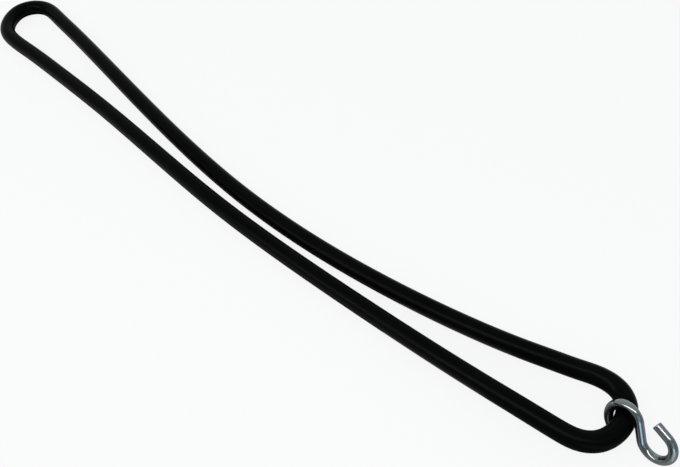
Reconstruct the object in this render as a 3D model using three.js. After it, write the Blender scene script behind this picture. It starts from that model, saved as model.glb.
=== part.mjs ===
// A rubber tie-down: an endless ring of solid round rubber cord, with one S-hook of round steel wire
// whose eye is bent round the ring. Millimetres and degrees, +Z up. The ring lies on the plane Z = 0
// with its length along X, and the origin is under the middle of the whole object.
import * as THREE from 'three';

// Rubber ring
const CORD_DIAMETER = 7;
const CORD_SIDES = 12;
const STRETCH_GAP = 0.3; // between neighbouring stretches of the ring
const LEG_STEPS = 9;
const BEND_STEPS = 22;

// S-hook
const WIRE_DIAMETER = 3;
const WIRE_SIDES = 12;
const WIRE_STEP = 1; // along the wire
const EYE_PLAY = 0.35; // between the cord and the wire, across the eye
const EYE_STRETCH = 1.13; // the eye's length over its width, because it lies aslant across the cord
const EYE_TILT = 66; // of the eye's length from the hook's own X
const EYE_TURN = 258;
const SHANK_LENGTH = 6;
const THROAT_DIAMETER = 7.6;
const THROAT_TURN = 222;
const TIP_LENGTH = 4.8;

// How the hook lies: turned about Z, leaned over from flat and rolled in its own plane, with its eye on the floor
const HOOK_YAW = -11.5;
const HOOK_LEAN = 78.5;
const HOOK_ROLL = 33.5;
const EYE_SETBACK = 0.3; // of the eye's centre behind the cord's middle
const CORD_DROP = 0.25; // of the cord's middle below the eye's centre

// Middle of the cord, seen from above: X, Y, and the share of the full lift that the hook gives it there
const RING_ROUTE = [
  [-150, 19, 0], [-125, 14, 0], [-90, 6.5, 0], [-45, -2.6, 0], [0, -9.2, 0], [45, -10.9, 0.02],
  [80, -9.1, 0.2], [108, -6.4, 0.63], [130, -2.6, 0.92], [140.1, -0.1, 0.99], [148.1, 2.1, 1],
  [155, 3.9, 1], [162.1, 3, 1], [166.5, -1.3, 1], [167.9, -5.85, 1], [167.5, -12, 1],
  [165.1, -17.2, 1], [160.2, -20.9, 1], [153.5, -22.1, 1], [145, -22.5, 1], [130, -23, 0.92],
  [108, -23.1, 0.63], [80, -22.5, 0.2], [45, -21.9, 0.02], [0, -19.9, 0], [-45, -15.1, 0],
  [-90, -10, 0], [-125, -7.2, 0], [-150, -5.7, 0], [-163, -5, 0], [-171.1, -3, 0],
  [-176.9, 1.2, 0], [-180.5, 6.1, 0], [-182.5, 12.2, 0], [-180.4, 18.8, 0], [-174.5, 22.4, 0],
  [-167.5, 22.3, 0], [-160.2, 20.9, 0],
];

// Where the stretches of the ring meet, and where the hook sits, as places in the route's list
const BACK_FAR = 0;
const BACK_MIDDLE = 4;
const BACK_NEAR = 10;
const HOOK_SEAT = 14;
const FRONT_NEAR = 19;
const FRONT_MIDDLE = 24;
const FRONT_FAR = 28;

const radians = THREE.MathUtils.degToRad;

const cordRadius = CORD_DIAMETER / 2;
const cordRest = cordRadius * Math.cos(Math.PI / CORD_SIDES); // middle of the cord above the flat it lies on
const wireRadius = WIRE_DIAMETER / 2;
const eyeShort = cordRadius + EYE_PLAY + wireRadius; // half of the eye's width, at the wire's middle
const eyeLong = eyeShort * EYE_STRETCH;
const throatRadius = THROAT_DIAMETER / 2 + wireRadius;
const eyeSlope = radians(EYE_TILT + HOOK_ROLL);
const eyeReach = Math.hypot(eyeLong * Math.sin(eyeSlope), eyeShort * Math.cos(eyeSlope));
const eyeHeight = eyeReach * Math.sin(radians(HOOK_LEAN)) + wireRadius;
const lift = eyeHeight - CORD_DROP - cordRest;

const rubber = { color: 0x080908, roughness: 0.4, metalness: 0 };
const zincPlate = { color: 0x9a9ea2, roughness: 0.18, metalness: 1 };

// A round section drawn as a polygon with its corners on the circle and one flat facing each way along X.
function roundSection(radius, sides) {
  const points = Array.from({ length: sides }, (_, i) => {
    const angle = (2 * Math.PI * (i + 0.5)) / sides;
    return new THREE.Vector2(radius * Math.cos(angle), radius * Math.sin(angle));
  });
  return new THREE.Shape(points);
}

// A solid round rod through the points, with flat ends.
function tube(name, points, radius, sides, finish) {
  const path = new THREE.CatmullRomCurve3(points);
  const geometry = new THREE.ExtrudeGeometry(roundSection(radius, sides), {
    steps: points.length - 1,
    extrudePath: path,
  });
  const mesh = new THREE.Mesh(geometry, new THREE.MeshStandardMaterial(finish));
  mesh.name = name;
  return mesh;
}

const ring = new THREE.CatmullRomCurve3(
  RING_ROUTE.map(([x, y, share]) => new THREE.Vector3(x, y, cordRest + share * lift)),
  true,
);

// One stretch of the ring from one place in the route to another, short of both by half the gap.
function ringStretch(name, from, to, steps) {
  const places = RING_ROUTE.length;
  const run = (to - from + places) % places;
  const points = Array.from({ length: steps + 1 }, (_, i) => {
    const place = from + (run * i) / steps;
    return ring.getPoint((place / places) % 1);
  });
  const inset = STRETCH_GAP / 2;
  points[0].addScaledVector(ring.getTangent(from / places), inset);
  points[steps].addScaledVector(ring.getTangent(to / places), -inset);
  return tube(name, points, cordRadius, CORD_SIDES, rubber);
}

// The S-hook in its own plane: the oval eye round the origin, the shank down from where the eye heads straight
// down, the open throat and the straight tip.
function sHook() {
  const tilt = radians(EYE_TILT);
  const eyeEnd = Math.atan2(-eyeShort * Math.sin(tilt), eyeLong * Math.cos(tilt));
  const throatEnd = Math.PI + radians(THROAT_TURN);
  const wire = new THREE.Path();
  wire.absellipse(0, 0, eyeLong, eyeShort, eyeEnd + radians(EYE_TURN), eyeEnd, true, tilt);
  const shankTop = wire.currentPoint;
  wire.absarc(shankTop.x + throatRadius, shankTop.y - SHANK_LENGTH, throatRadius, Math.PI, throatEnd, false);
  const { x, y } = wire.currentPoint;
  wire.lineTo(x - TIP_LENGTH * Math.sin(throatEnd), y + TIP_LENGTH * Math.cos(throatEnd));
  const steps = Math.round(wire.getLength() / WIRE_STEP);
  const points = wire.getSpacedPoints(steps).map((point) => new THREE.Vector3(point.x, point.y, 0));
  return tube('s_hook', points, wireRadius, WIRE_SIDES, zincPlate);
}

// The hook as it lies, with its eye round the cord.
function seatedHook() {
  const [seatX, seatY] = RING_ROUTE[HOOK_SEAT];
  const hook = new THREE.Group();
  hook.add(sHook());
  hook.rotateZ(radians(HOOK_YAW)).rotateX(radians(HOOK_LEAN)).rotateZ(radians(HOOK_ROLL));
  hook.position.set(seatX - EYE_SETBACK, seatY, eyeHeight);
  return hook;
}

const tieDown = new THREE.Group();
tieDown.add(
  ringStretch('ring_far_bend', FRONT_FAR, BACK_FAR, BEND_STEPS),
  ringStretch('ring_far_leg_back', BACK_FAR, BACK_MIDDLE, LEG_STEPS),
  ringStretch('ring_hook_leg_back', BACK_MIDDLE, BACK_NEAR, LEG_STEPS),
  ringStretch('ring_hook_bend', BACK_NEAR, FRONT_NEAR, BEND_STEPS),
  ringStretch('ring_hook_leg_front', FRONT_NEAR, FRONT_MIDDLE, LEG_STEPS),
  ringStretch('ring_far_leg_front', FRONT_MIDDLE, FRONT_FAR, LEG_STEPS),
  seatedHook(),
);

export default tieDown;
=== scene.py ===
# %% [markdown]
# A rubber tie-down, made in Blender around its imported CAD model. The real object has two pieces: an endless
# ring of solid round rubber cord, and an S-hook of round zinc-plated wire whose eye is bent round the ring.
# Both are swept forms, a round section carried along a line, so both are worked out here as numpy grids.
# The CAD model gives the size, the place and the joints, and this script gives the looks.

import bpy
import numpy as np
from mathutils import Matrix, Vector


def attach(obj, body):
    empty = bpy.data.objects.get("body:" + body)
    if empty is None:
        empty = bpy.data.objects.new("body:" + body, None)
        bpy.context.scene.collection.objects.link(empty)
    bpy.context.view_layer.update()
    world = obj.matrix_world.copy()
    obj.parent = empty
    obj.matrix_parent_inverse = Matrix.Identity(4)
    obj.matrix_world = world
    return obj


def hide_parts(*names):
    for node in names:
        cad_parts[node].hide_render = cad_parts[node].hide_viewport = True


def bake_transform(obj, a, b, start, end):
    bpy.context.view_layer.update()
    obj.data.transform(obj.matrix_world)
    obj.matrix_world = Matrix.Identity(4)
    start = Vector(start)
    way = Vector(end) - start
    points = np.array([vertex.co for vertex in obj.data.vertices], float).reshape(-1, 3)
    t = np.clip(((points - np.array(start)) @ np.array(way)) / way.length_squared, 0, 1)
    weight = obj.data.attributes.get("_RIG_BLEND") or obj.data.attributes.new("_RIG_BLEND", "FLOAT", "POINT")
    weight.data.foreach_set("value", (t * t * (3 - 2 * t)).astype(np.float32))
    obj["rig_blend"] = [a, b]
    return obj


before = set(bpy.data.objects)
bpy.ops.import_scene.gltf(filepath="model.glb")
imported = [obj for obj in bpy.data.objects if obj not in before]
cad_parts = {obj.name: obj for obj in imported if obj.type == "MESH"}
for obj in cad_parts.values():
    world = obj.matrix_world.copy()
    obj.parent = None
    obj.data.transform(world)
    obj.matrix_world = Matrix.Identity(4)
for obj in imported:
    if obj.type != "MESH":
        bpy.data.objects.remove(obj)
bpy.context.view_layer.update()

# %% [markdown]
# The camera stands where the photographer stood: close above the hook's end, looking down along the ring,
# so the far bend looks small. A short distance and a middling lens give that perspective. The place and the
# lens were found together, from where the cord's edges fall in the picture.

# %% Set up the camera
PICTURE_WIDTH = 680
FOCAL_PIXELS = 792.0
CAMERA_PLACE = Vector((0.17840, -0.15839, 0.23313))
CAMERA_AIM = Vector((0.0455, 0.0, 0.0035))

camera_data = bpy.data.cameras.new("photo_camera")
camera_data.sensor_fit = "HORIZONTAL"
camera_data.sensor_width = 36.0
camera_data.lens = FOCAL_PIXELS / PICTURE_WIDTH * camera_data.sensor_width
camera_data.clip_start = 0.01
camera = bpy.data.objects.new("photo_camera", camera_data)
camera.location = CAMERA_PLACE
camera.rotation_euler = (CAMERA_AIM - CAMERA_PLACE).to_track_quat("-Z", "Y").to_euler()
bpy.context.scene.collection.objects.link(camera)
bpy.context.scene.camera = camera
print("camera lens in mm:", round(camera_data.lens, 2))

# %% [markdown]
# The cord's middle line comes first. It is the route of the CAD model: places seen from above, and at each
# place the share of the full lift that the hook's eye gives the cord there. The rest of the ring lies on the
# floor. A bezier circle could be bent by hand, but a smooth closed line through known places is exact and
# easy to change.

# %% The ring's route
CORD_RADIUS = 0.0035
EYE_HEIGHT = 0.0074066  # of the middle of the hook's eye above the floor
CORD_DROP = 0.00025  # of the cord's middle below the middle of the eye

ROUTE_MM = [
    (167.9, -5.85, 1), (167.5, -12, 1), (165.1, -17.2, 1), (160.2, -20.9, 1), (153.5, -22.1, 1),
    (145, -22.5, 1), (130, -23, 0.92), (108, -23.1, 0.63), (80, -22.5, 0.2), (45, -21.9, 0.02),
    (0, -19.9, 0), (-45, -15.1, 0), (-90, -10, 0), (-125, -7.2, 0), (-150, -5.7, 0),
    (-163, -5, 0), (-171.1, -3, 0), (-176.9, 1.2, 0), (-180.5, 6.1, 0), (-182.5, 12.2, 0),
    (-180.4, 18.8, 0), (-174.5, 22.4, 0), (-167.5, 22.3, 0), (-160.2, 20.9, 0), (-150, 19, 0),
    (-125, 14, 0), (-90, 6.5, 0), (-45, -2.6, 0), (0, -9.2, 0), (45, -10.9, 0.02),
    (80, -9.1, 0.2), (108, -6.4, 0.63), (130, -2.6, 0.92), (140.1, -0.1, 0.99), (148.1, 2.1, 1),
    (155, 3.9, 1), (162.1, 3, 1), (166.5, -1.3, 1),
]

route = np.array(ROUTE_MM)
lift = EYE_HEIGHT - CORD_DROP - CORD_RADIUS
ring_knots = np.column_stack([route[:, :2] / 1000, CORD_RADIUS + route[:, 2] * lift])
print("places on the ring's route:", len(ring_knots))

# %% [markdown]
# A closed cubic spline joins the places with no jump in direction or in bend, as a springy rubber cord lies.
# Its parameter is the straight distance from place to place, so long legs and tight bends share one curve.

# %% A smooth closed line
RING_STEPS = 1000
FINE_STEPS = 20000  # for measuring along a curve


def closed_spline(knots, count):
    """Points and directions at even steps along a closed cubic spline through the knots.

    Between two knots a distance h apart the line is a cubic whose slopes m at the knots make the second
    derivative run on: m0 / ha + 2 m1 (1 / ha + 1 / hb) + m2 / hb = 3 (rise_a / ha^2 + rise_b / hb^2).
    """
    ahead = np.roll(knots, -1, axis=0) - knots
    step = np.linalg.norm(ahead, axis=1)
    inverse = np.diag(1 / step)
    before = np.roll(inverse, 1, axis=(0, 1))
    system = 2 * (inverse + before) + np.roll(inverse, 1, axis=1) + np.roll(before, -1, axis=1)
    rise = 3 * ahead / step[:, None] ** 2
    slope = np.linalg.solve(system, rise + np.roll(rise, 1, axis=0))

    def at(distance):
        starts = np.concatenate([[0.0], np.cumsum(step)])
        piece = np.clip(np.searchsorted(starts, distance, side="right") - 1, 0, len(step) - 1)
        h = step[piece][:, None]
        t = (distance - starts[piece])[:, None] / h
        p, q = knots[piece], np.roll(knots, -1, axis=0)[piece]
        m, n = h * slope[piece], h * np.roll(slope, -1, axis=0)[piece]
        place = p + t * m + t**2 * (3 * (q - p) - 2 * m - n) + t**3 * (2 * (p - q) + m + n)
        way = m + 2 * t * (3 * (q - p) - 2 * m - n) + 3 * t**2 * (2 * (p - q) + m + n)
        return place, way / np.linalg.norm(way, axis=1)[:, None]

    fine = np.linspace(0, step.sum(), FINE_STEPS + 1)
    run = np.linalg.norm(np.diff(at(fine)[0], axis=0), axis=1)
    travelled = np.concatenate([[0.0], np.cumsum(run)])
    even = np.interp(np.linspace(0, travelled[-1], count + 1), travelled, fine)
    place, way = at(even)
    return place, way, travelled[-1]


ring_line, ring_way, ring_length = closed_spline(ring_knots, RING_STEPS)
turn = np.linalg.norm(np.diff(ring_way, axis=0), axis=1) / (ring_length / RING_STEPS)
print("cord once round the ring, in mm:", round(ring_length * 1000, 1))
print("tightest bend of its middle, radius in mm:", round(1000 / turn.max(), 1))

# %% [markdown]
# A tube is a grid of two parameters, along the line and around it. Both pieces use one small function for
# the grid's points, one for its faces, and one that turns the arrays into a Blender object. Blender's own
# curve bevel would give a tube too, but the grid also gives a UV map that follows the cord, which the
# finishes need.

# %% Tube helpers
def tube_points(line, side, over, radius, sides):
    """Grid of points: line + radius (side cos a + over sin a), for each place on the line and each angle."""
    angle = np.arange(sides) * 2 * np.pi / sides
    spoke = side[:, None] * np.cos(angle)[:, None] + over[:, None] * np.sin(angle)[:, None]
    return line[:, None] + np.reshape(radius, (-1, 1, 1)) * spoke


def tube_faces(rows, sides, closed):
    """Four-cornered faces of the grid, facing outwards, and their UVs: u along the line, v around it."""
    spans = rows if closed else rows - 1
    i, j = (block.ravel() for block in np.meshgrid(np.arange(spans), np.arange(sides), indexing="ij"))
    along = np.stack([i, i, i + 1, i + 1], axis=1)
    around = np.stack([j, j + 1, j + 1, j], axis=1)
    corners = (along % rows) * sides + around % sides
    return corners, np.stack([along / spans, around / sides], axis=2)


def make_piece(name, points, faces, uvs):
    """A smooth mesh object at the origin, from its points, its blocks of faces and their corners' UVs."""
    mesh = bpy.data.meshes.new(name)
    mesh.vertices.add(len(points))
    mesh.vertices.foreach_set("co", points.astype(np.float32).ravel())
    corners = np.concatenate([block.ravel() for block in faces])
    sizes = np.concatenate([np.full(len(block), block.shape[1]) for block in faces])
    mesh.loops.add(len(corners))
    mesh.loops.foreach_set("vertex_index", corners.astype(np.int32))
    mesh.polygons.add(len(sizes))
    mesh.polygons.foreach_set("loop_start", (np.cumsum(sizes) - sizes).astype(np.int32))
    mesh.polygons.foreach_set("use_smooth", np.ones(len(sizes), bool))
    mesh.update(calc_edges=True)
    layer = mesh.uv_layers.new(name="along_and_around")
    layer.data.foreach_set("uv", np.concatenate([block.ravel() for block in uvs]).astype(np.float32))
    mended = mesh.validate()
    piece = bpy.data.objects.new(name, mesh)
    bpy.context.scene.collection.objects.link(piece)
    print(name, "faces:", len(sizes), "needed mending:", mended)
    return piece


print("tube helpers ready")

# %% [markdown]
# The ring is one endless length of solid cord, so its tube closes on itself in both directions and has no
# ends. The section's frame comes from the upright: sideways is level, and over is square to both. It never
# twists, because no part of the cord stands up. The UV seam around the ring lies inside the hook's eye.

# %% Make the rubber ring
CORD_SIDES = 48

ring_middle, ring_ahead = ring_line[:-1], ring_way[:-1]
ring_side = np.cross([0.0, 0.0, 1.0], ring_ahead)
ring_side /= np.linalg.norm(ring_side, axis=1)[:, None]
ring_over = np.cross(ring_ahead, ring_side)
ring_points = tube_points(ring_middle, ring_side, ring_over, CORD_RADIUS, CORD_SIDES)
ring_faces, ring_uvs = tube_faces(RING_STEPS, CORD_SIDES, closed=True)
rubber_ring = make_piece("rubber_ring", ring_points.reshape(-1, 3), [ring_faces], [ring_uvs])

# %% [markdown]
# The ring is a free cord, and it also stretches: its far end stays with one body and its hook end with
# another, and the two legs grow longer between them. The blend moves each point of the legs by a share of
# the pull, so the rubber stays one piece while the six lengths of cord in the CAD model part.

# %% Say how the ring moves
LEGS_START = (-0.150, 0.0, 0.0)
LEGS_END = (0.145, 0.0, 0.0)

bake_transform(rubber_ring, "far_end", "hook_end", start=LEGS_START, end=LEGS_END)
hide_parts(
    "ring_far_bend", "ring_far_leg_back", "ring_far_leg_front",
    "ring_hook_bend", "ring_hook_leg_back", "ring_hook_leg_front",
)

# %% [markdown]
# The hook is one piece of wire bent in one plane, so its middle line is drawn flat, as a wire bender would
# set it out: an eye, a straight shank, an open throat bent the other way, and a straight tip. The eye lies
# aslant across the cord, so it is squeezed to an oval. The shank leaves it where the oval heads straight
# down, and each length starts in the direction in which the one before it ends.

# %% Set out the hook's wire
WIRE_RADIUS = 0.0015
EYE_PLAY = 0.00035  # between the cord and the wire, across the eye
EYE_STRETCH = 1.13  # the eye's length over its width, along the middle of its wire
EYE_SHORT = CORD_RADIUS + EYE_PLAY + WIRE_RADIUS
EYE_LONG = EYE_STRETCH * EYE_SHORT
EYE_TILT = np.radians(66)
EYE_TURN = np.radians(258)
EYE_STEPS = 4000


def eye_line(angle):
    """Places on the oval, (long cos a, short sin a) turned by the tilt, and headings as the angle falls."""
    spot = EYE_LONG * np.cos(angle) + 1j * EYE_SHORT * np.sin(angle)
    way = EYE_LONG * np.sin(angle) - 1j * EYE_SHORT * np.cos(angle)
    tilt = np.exp(1j * EYE_TILT)
    return spot * tilt, np.unwrap(np.angle(way * tilt))


eye_end = np.arctan2(-EYE_SHORT * np.sin(EYE_TILT), EYE_LONG * np.cos(EYE_TILT))
eye, eye_heading = eye_line(np.linspace(eye_end + EYE_TURN, eye_end, EYE_STEPS + 1))
print("eye inside, in mm:", np.round(2000 * (np.array([EYE_SHORT, EYE_LONG]) - WIRE_RADIUS), 2))

# %% [markdown]
# Past the eye the wire is easy to follow by its heading: it keeps the heading on the shank and the tip, and
# turns by distance over radius round the throat. The whole line is then a list of places with the distance
# travelled to each, and any place on the wire is read off it by its distance.

# %% Follow the wire to its tip
SHANK_LENGTH = 0.006
THROAT_WIDTH = 0.0076
THROAT_RADIUS = THROAT_WIDTH / 2 + WIRE_RADIUS
THROAT_TURN = np.radians(222)
THROAT_STEPS = 2000
TIP_LENGTH = 0.0048

throat_turn = np.linspace(0, THROAT_TURN, THROAT_STEPS + 1)
down = eye_heading[-1]
shank = eye[-1] + SHANK_LENGTH * np.exp(1j * down)
throat = shank + THROAT_RADIUS * 1j * np.exp(1j * down) * (1 - np.exp(1j * throat_turn))
tip = throat[-1] + TIP_LENGTH * np.exp(1j * (down + THROAT_TURN))
wire = np.concatenate([eye, throat, [tip]])
wire_heading = np.concatenate([eye_heading, down + throat_turn, [down + THROAT_TURN]])
travelled = np.concatenate([[0.0], np.cumsum(np.abs(np.diff(wire)))])
wire_length = travelled[-1]


def wire_line(distance):
    """Places and headings of the wire's middle in its own plane, at distances from the eye's end."""
    x, y = (np.interp(distance, travelled, part) for part in (wire.real, wire.imag))
    return np.column_stack([x, y]), np.interp(distance, travelled, wire_heading)


print("wire in the hook, in mm:", round(wire_length * 1000, 1))

# %% [markdown]
# The wire is sheared to length before it is bent and plated, so its ends are flat with a slightly rounded
# edge. The rounding is a quarter circle in the wire's radius at each end, and a few rows of shrinking radius
# make the flat face. A Bevel modifier would round the edge too, but here the end is only some more rows of
# the same grid.

# %% Rows along the wire
WIRE_STEPS = 420
WIRE_SIDES = 40
EDGE_ROUND = 0.00022
EDGE_ROWS = 6
FACE_ROWS = np.array([0.3, 0.7, 0.92])  # as shares of the flat face's radius

quarter = np.linspace(0, np.pi / 2, EDGE_ROWS)
edge_along = EDGE_ROUND * (1 - np.cos(quarter))
edge_radius = WIRE_RADIUS - EDGE_ROUND * (1 - np.sin(quarter))
face_radius = edge_radius[0] * FACE_ROWS
end_along = np.concatenate([np.zeros(len(FACE_ROWS)), edge_along])
end_radius = np.concatenate([face_radius, edge_radius])
body_along = np.linspace(EDGE_ROUND, wire_length - EDGE_ROUND, WIRE_STEPS + 1)[1:-1]
along = np.concatenate([end_along, body_along, wire_length - end_along[::-1]])
radius = np.concatenate([end_radius, np.full(len(body_along), WIRE_RADIUS), end_radius[::-1]])

flat_line, heading = wire_line(along)
flat = np.zeros(len(along))
line = np.column_stack([flat_line, flat])
across = np.column_stack([-np.sin(heading), np.cos(heading), flat])
out_of_plane = np.tile([0.0, 0.0, 1.0], (len(along), 1))
hook_points = tube_points(line, across, out_of_plane, radius, WIRE_SIDES).reshape(-1, 3)
print("rows along the wire:", len(along))

# %% [markdown]
# The flat hook is then turned to where it lies: rolled in its own plane, leaned over until it is nearly
# upright, and turned a little about the vertical. Its eye stands on the floor, and the rubber in the eye
# holds its throat just clear of it. All of it goes into the mesh, so the object itself stays at the origin.

# %% Seat the hook in the ring
HOOK_YAW = np.radians(-11.5)
HOOK_LEAN = np.radians(78.5)
HOOK_ROLL = np.radians(33.5)
EYE_SETBACK = 0.0003  # of the eye's centre behind the cord's middle


def turned(points, axis, angle):
    """Points turned about one axis: the two other coordinates mix by the angle's cosine and sine."""
    a, b = (axis + 1) % 3, (axis + 2) % 3
    moved = points.copy()
    moved[:, a] = points[:, a] * np.cos(angle) - points[:, b] * np.sin(angle)
    moved[:, b] = points[:, a] * np.sin(angle) + points[:, b] * np.cos(angle)
    return moved


ends = np.array([line[0], line[-1]])
hook_points = np.concatenate([hook_points, ends])
hook_points = turned(turned(turned(hook_points, 2, HOOK_ROLL), 0, HOOK_LEAN), 2, HOOK_YAW)
hook_points += np.array([ring_knots[0][0] - EYE_SETBACK, ring_knots[0][1], EYE_HEIGHT])
print("hook's lowest point above the floor, in mm:", round(1000 * hook_points[:, 2].min(), 3))

# %% [markdown]
# The hook's faces are those of the grid, and a fan of triangles fills the middle of each end. The rows crowd
# together at the ends, so u is taken from the distance along the wire and not from the row's number. The
# hook rides on its own body, which swings about the cord.

# %% Make the wire hook
hook_faces, hook_uvs = tube_faces(len(along), WIRE_SIDES, closed=False)
hook_uvs[..., 0] = along[np.rint(hook_uvs[..., 0] * (len(along) - 1)).astype(int)] / wire_length
fan = np.arange(WIRE_SIDES)
fan_next = (fan + 1) % WIRE_SIDES
last_row = (len(along) - 1) * WIRE_SIDES
start_fan = np.column_stack([np.full(WIRE_SIDES, len(hook_points) - 2), fan_next, fan])
end_fan = np.column_stack([np.full(WIRE_SIDES, len(hook_points) - 1), last_row + fan, last_row + fan_next])
fan_v = np.column_stack([fan + 0.5, fan + 1, fan]) / WIRE_SIDES
start_uvs = np.stack([np.zeros((WIRE_SIDES, 3)), fan_v], axis=2)
end_uvs = np.stack([np.ones((WIRE_SIDES, 3)), fan_v[:, [0, 2, 1]]], axis=2)
wire_hook = make_piece(
    "wire_hook", hook_points, [hook_faces, start_fan, end_fan], [hook_uvs, start_uvs, end_uvs]
)
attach(wire_hook, "hook")
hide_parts("s_hook")
print("points on the hook:", len(hook_points))

# %% [markdown]
# Finishes are node materials, and a few small helpers keep them readable. One of them makes a pattern space
# that runs along a round piece. In that space the angle around the piece becomes a circle, so a noise has no
# seam there and can be drawn out along the length.

# %% Finish helpers
def add_node(tree, kind, links=(), **values):
    """A node of that kind, with values for its sockets by name and links as (socket, from where)."""
    made = tree.nodes.new(kind)
    for socket, value in values.items():
        made.inputs[socket.replace("_", " ")].default_value = value
    for socket, source in links:
        tree.links.new(source, made.inputs[socket])
    return made


def math_node(tree, operation, first, second=0.0):
    """One sum: the operation on a linked value and a number or another linked value."""
    made = tree.nodes.new("ShaderNodeMath")
    made.operation = operation
    tree.links.new(first, made.inputs[0])
    if isinstance(second, float):
        made.inputs[1].default_value = second
    else:
        tree.links.new(second, made.inputs[1])
    return made.outputs[0]


def lengthwise_space(tree, reach):
    """(cos a, sin a, reach u): u and the angle a around come from the piece's UV map."""
    uv = add_node(tree, "ShaderNodeUVMap")
    uv.uv_map = "along_and_around"
    parts = add_node(tree, "ShaderNodeSeparateXYZ", [("Vector", uv.outputs["UV"])])
    angle = math_node(tree, "MULTIPLY", parts.outputs["Y"], 2 * np.pi)
    space = add_node(tree, "ShaderNodeCombineXYZ", [
        ("X", math_node(tree, "COSINE", angle)),
        ("Y", math_node(tree, "SINE", angle)),
        ("Z", math_node(tree, "MULTIPLY", parts.outputs["X"], float(reach))),
    ])
    return space.outputs["Vector"]


def colour_steps(tree, source, steps):
    """A colour ramp with these (place, colour) steps, driven by source."""
    ramp = add_node(tree, "ShaderNodeValToRGB", [("Fac", source)])
    spots = ramp.color_ramp.elements
    while len(spots) < len(steps):
        spots.new(0.5)
    for spot, (place, colour) in zip(spots, steps):
        spot.position = place
        spot.color = (*colour, 1.0)
    return ramp.outputs["Color"]


def blank_finish(name):
    """A material with its node tree and its one shader."""
    finish = bpy.data.materials.new(name)
    finish.use_nodes = True
    return finish, finish.node_tree, finish.node_tree.nodes["Principled BSDF"]


print("finish helpers ready")

# %% [markdown]
# Solid rubber cord is black with carbon, smooth but not polished. Long faint streaks from the die run along
# it, a dusty bloom lies on it in soft clouds, and very fine grain breaks up the gloss. The streaks follow
# the cord, so they use the lengthwise space, and bloom and grain lie in the rubber itself, on Object
# coordinates. The picture's blacks are deep, so the gloss level is set far below the usual one.

# %% Rubber finish
rubber, tree, shader = blank_finish("satin_black_rubber")
die_space = lengthwise_space(tree, reach=9)
body_space = add_node(tree, "ShaderNodeTexCoord").outputs["Object"]
die_streaks = add_node(tree, "ShaderNodeTexNoise", [("Vector", die_space)], Scale=2.6, Detail=5.0)
bloom = add_node(tree, "ShaderNodeTexNoise", [("Vector", body_space)], Scale=55.0, Detail=4.0)
grain = add_node(tree, "ShaderNodeTexNoise", [("Vector", body_space)], Scale=2600.0, Detail=3.0)

dust = math_node(tree, "MULTIPLY", die_streaks.outputs["Fac"], bloom.outputs["Fac"])
black = colour_steps(tree, dust, [(0.12, (0.0008, 0.0010, 0.0008)), (0.45, (0.0024, 0.0027, 0.0024))])
tree.links.new(black, shader.inputs["Base Color"])
gloss = add_node(
    tree, "ShaderNodeMapRange", [("Value", die_streaks.outputs["Fac"])],
    From_Min=0.3, From_Max=0.7, To_Min=0.27, To_Max=0.37,
)
tree.links.new(gloss.outputs["Result"], shader.inputs["Roughness"])
shader.inputs["Specular IOR Level"].default_value = 0.038

relief = math_node(tree, "ADD", grain.outputs["Fac"], die_streaks.outputs["Fac"])
bump = add_node(tree, "ShaderNodeBump", [("Height", relief)], Strength=0.25, Distance=0.00006)
tree.links.new(bump.outputs["Normal"], shader.inputs["Normal"])
rubber_ring.data.materials.append(rubber)
print("rubber nodes:", len(tree.nodes))

# %% [markdown]
# Bright zinc plate with a clear passivation has a faint cast that drifts from green-grey to blue-grey from
# place to place. The wire was drawn through a die, so its sheen runs along it in fine lines. Metal gets its
# look from what it reflects, so the colour stays close to the real one and the roughness does the rest.

# %% Zinc finish
zinc, tree, shader = blank_finish("blue_bright_zinc")
drawn_space = lengthwise_space(tree, reach=1.6)
body_space = add_node(tree, "ShaderNodeTexCoord").outputs["Object"]
drawn_lines = add_node(tree, "ShaderNodeTexNoise", [("Vector", drawn_space)], Scale=7.0, Detail=5.0)
film = add_node(tree, "ShaderNodeTexNoise", [("Vector", body_space)], Scale=190.0, Detail=3.0)
specks = add_node(tree, "ShaderNodeTexNoise", [("Vector", body_space)], Scale=3200.0, Detail=2.0)

cast = colour_steps(tree, film.outputs["Fac"], [
    (0.34, (0.295, 0.325, 0.32)), (0.5, (0.32, 0.338, 0.34)), (0.66, (0.325, 0.33, 0.36)),
])
tree.links.new(cast, shader.inputs["Base Color"])
shader.inputs["Metallic"].default_value = 1.0
sheen = add_node(
    tree, "ShaderNodeMapRange", [("Value", drawn_lines.outputs["Fac"])],
    From_Min=0.3, From_Max=0.7, To_Min=0.13, To_Max=0.23,
)
tree.links.new(sheen.outputs["Result"], shader.inputs["Roughness"])
relief = math_node(tree, "ADD", drawn_lines.outputs["Fac"], specks.outputs["Fac"])
bump = add_node(tree, "ShaderNodeBump", [("Height", relief)], Strength=0.2, Distance=0.00003)
tree.links.new(bump.outputs["Normal"], shader.inputs["Normal"])
wire_hook.data.materials.append(zinc)
print("zinc nodes:", len(tree.nodes))

# %% [markdown]
# The floor is a plain pale sheet. The picture's ground is white, so part of the floor's brightness is its
# own for rays from the camera and for reflections, where a strength of 1 is white. The rest is ordinary
# paint, which takes the object's soft shadow.

# %% Floor
FLOOR_HALF = 4.0
FLOOR_PAINT = (0.95, 0.95, 0.95, 1.0)
OWN_WHITE = 0.86  # share of the floor's brightness

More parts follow.
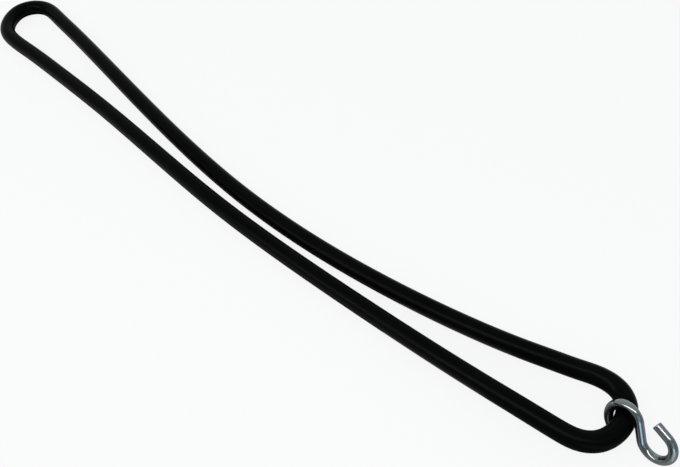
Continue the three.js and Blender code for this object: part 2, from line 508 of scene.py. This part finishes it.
floor_points = FLOOR_HALF * np.array([[-1.0, -1, 0], [1, -1, 0], [1, 1, 0], [-1, 1, 0]])
floor_uvs = (floor_points[:, :2] / FLOOR_HALF + 1) / 2
floor = make_piece("floor", floor_points, [np.array([[0, 1, 2, 3]])], [floor_uvs])
pale, tree, shader = blank_finish("pale_floor")
tree.nodes.remove(shader)
paint = add_node(tree, "ShaderNodeBsdfDiffuse", Color=FLOOR_PAINT)
own = add_node(tree, "ShaderNodeEmission", Color=(1.0, 1.0, 1.0, 1.0), Strength=1.0)
rays = tree.nodes.new("ShaderNodeLightPath").outputs
seen = math_node(tree, "MAXIMUM", rays["Is Camera Ray"], rays["Is Glossy Ray"])
seen = math_node(tree, "MAXIMUM", seen, rays["Is Transmission Ray"])
share = math_node(tree, "MULTIPLY", seen, OWN_WHITE)
mix = tree.nodes.new("ShaderNodeMixShader")
tree.links.new(share, mix.inputs[0])
tree.links.new(paint.outputs[0], mix.inputs[1])
tree.links.new(own.outputs[0], mix.inputs[2])
tree.links.new(mix.outputs[0], tree.nodes["Material Output"].inputs["Surface"])
floor.data.materials.append(pale)
print("floor across, in m:", 2 * FLOOR_HALF)

# %% [markdown]
# Soft studio light. The key is a long, narrow strip softbox over the camera's left shoulder, and round wire
# turns it into thin white streaks. To the right of the camera a large dim bluish panel, with a small
# brighter one low inside it, draws the pale blue line down the hook's shank, as a window would. A softbox in
# Blender is an area lamp. Its level on the floor is its power, times the cosine of its slant, over the
# square of pi times its distance.

# %% Softboxes
def softbox(name, way, distance, along, size, watts, colour):
    """An oblong area lamp at a distance along a direction, facing the origin, its length turned along."""
    data = bpy.data.lights.new(name, "AREA")
    data.shape = "RECTANGLE"
    data.size, data.size_y = size
    data.energy = watts
    data.color = colour
    lamp = bpy.data.objects.new(name, data)
    back = Vector(way).normalized()
    over = back.cross(Vector(along)).normalized()
    lamp.matrix_world = Matrix((over.cross(back), over, back)).transposed().to_4x4()
    lamp.location = back * distance
    bpy.context.scene.collection.objects.link(lamp)
    print(name, "level on the floor:", round(watts * back.z / (np.pi * distance) ** 2, 3))


softbox(
    "strip_softbox", way=(-0.01, -0.64, 0.77), distance=1.0, along=(0.743, 0.413, 0.526),
    size=(1.9, 0.22), watts=5.8, colour=(1.0, 1.0, 0.97),
)
softbox(
    "low_panel", way=(0.77, -0.63, 0.12), distance=0.9, along=(0.63, 0.77, 0.0),
    size=(0.36, 0.2), watts=0.38, colour=(0.57, 0.84, 1.0),
)
softbox(
    "blue_fill", way=(0.824, -0.475, 0.309), distance=0.95, along=(0.5, 0.866, 0.0),
    size=(0.77, 0.73), watts=0.75, colour=(0.55, 0.84, 1.0),
)

# %% [markdown]
# The room around the lamps is bright behind the object and dim on the camera's side, which gives the wire
# its dark bands. With the lamps it lights a flat surface at about the level of its own colour.

# %% Room
ROOM_BRIGHT_WAY = (-0.68, 0.68, 0.28)
ROOM_DIM = (0.07, 0.09, 0.11)
ROOM_BRIGHT = (0.56, 0.6, 0.62)

room = bpy.data.worlds.new("studio_room")
room.use_nodes = True
tree = room.node_tree
ways = add_node(tree, "ShaderNodeTexCoord").outputs["Generated"]
facing = add_node(tree, "ShaderNodeVectorMath", [(0, ways)])
facing.operation = "DOT_PRODUCT"
facing.inputs[1].default_value = ROOM_BRIGHT_WAY
share = add_node(
    tree, "ShaderNodeMapRange", [("Value", facing.outputs["Value"])], From_Min=-0.9, From_Max=0.9
)
walls = colour_steps(tree, share.outputs["Result"], [(0.0, ROOM_DIM), (1.0, ROOM_BRIGHT)])
tree.links.new(walls, tree.nodes["Background"].inputs["Color"])
bpy.context.scene.world = room
bpy.context.scene.view_settings.view_transform = "Standard"
print("room level from", ROOM_DIM, "to", ROOM_BRIGHT)

# %% [markdown]
# Shiny wire on a white floor would be pale all over. A photographer lays cards on the floor just outside the
# picture: the wire mirrors the dark one as a dark band, the greyer ones as middle tones, and the gap between
# them as a pale line. They are shown to reflections alone, so they change neither the floor nor its shadow.

# %% Cards for reflections
CARD_HEIGHT = 0.0003
CARD_ROUGHNESS = 0.9
CARDS_MM = {
    "front_card": ((0.04, 0.075, 0.11), [(178, -18.4), (110, -410), (360, -340)]),
    "corner_card": ((0.42, 0.44, 0.45), [(178, -18.4), (67.6, -111.7), (20, -300), (110, -410)]),
    "side_card": ((0.5, 0.58, 0.68), [(186, -13), (525.7, -150), (600, 200), (147.2, 97.6), (191.9, -2.9)]),
}


def mirrored_card(name, corners_mm, height):
    """A flat card that only reflections show, from its corners seen from above, anticlockwise."""
    corners = np.array(corners_mm) / 1000
    points = np.column_stack([corners, np.full(len(corners), height)])
    card = make_piece(name, points, [np.arange(len(corners))[None]], [corners])
    finish, tree, shader = blank_finish(name + "_paper")
    shader.inputs["Roughness"].default_value = CARD_ROUGHNESS
    card.data.materials.append(finish)
    card.visible_camera = card.visible_diffuse = card.visible_shadow = False
    return tree, shader.inputs["Base Color"]


for name, (colour, corners_mm) in CARDS_MM.items():
    _, paper = mirrored_card(name, corners_mm, CARD_HEIGHT)
    paper.default_value = (*colour, 1.0)

# %% [markdown]
# The floor's own white leaves out the deep shade below the cord that the hook lifts, and the wire would
# mirror plain white there. One more card brings that shade back into the reflections. It is dark below the
# bend and grows paler with the distance from there.

# %% Shade below the bend
SHADE_HEIGHT = 0.0002
SHADE_MIDDLE = (0.1635, -0.0135, 0.0)
SHADE_REACH = 0.032
SHADE_MM = [(128, -48), (192, -48), (192, 16), (128, 16)]

tree, paper = mirrored_card("shade_card", SHADE_MM, SHADE_HEIGHT)
card_space = add_node(tree, "ShaderNodeTexCoord").outputs["Object"]
apart = add_node(tree, "ShaderNodeVectorMath", [(0, card_space)])
apart.operation = "DISTANCE"
apart.inputs[1].default_value = SHADE_MIDDLE
share = math_node(tree, "DIVIDE", apart.outputs["Value"], SHADE_REACH)
shade = colour_steps(tree, share, [
    (0.19, (0.03, 0.03, 0.03)), (0.31, (0.4, 0.4, 0.4)),
    (0.5, (0.55, 0.55, 0.55)), (1.0, (0.75, 0.75, 0.75)),
])
tree.links.new(shade, paper)
print("shade reaches, in mm:", round(1000 * SHADE_REACH))

# %% [markdown]
# The same holds where the cord lies on the floor: its lower sides face a narrow shaded strip of the floor.
# A dark ribbon below the cord, a little wider than the cord, gives their edges that shade.

# %% Shade along the cord
RIBBON_HALF = 0.0048
RIBBON_STRIDE = 5
RIBBON_COLOUR = (0.05, 0.05, 0.05, 1.0)
LYING_LIFT = 0.001  # up to which the cord counts as lying

lying = np.flatnonzero(ring_middle[:, 2] < CORD_RADIUS + LYING_LIFT)[::RIBBON_STRIDE]
right_edge = ring_middle[lying] - RIBBON_HALF * ring_side[lying]
left_edge = ring_middle[lying] + RIBBON_HALF * ring_side[lying]
ribbon_mm = 1000 * np.concatenate([right_edge, left_edge[::-1]])[:, :2]
_, paper = mirrored_card("ribbon_card", ribbon_mm, SHADE_HEIGHT)
paper.default_value = RIBBON_COLOUR
print("share of the cord that lies on the floor:", round(RIBBON_STRIDE * len(lying) / RING_STEPS, 2))
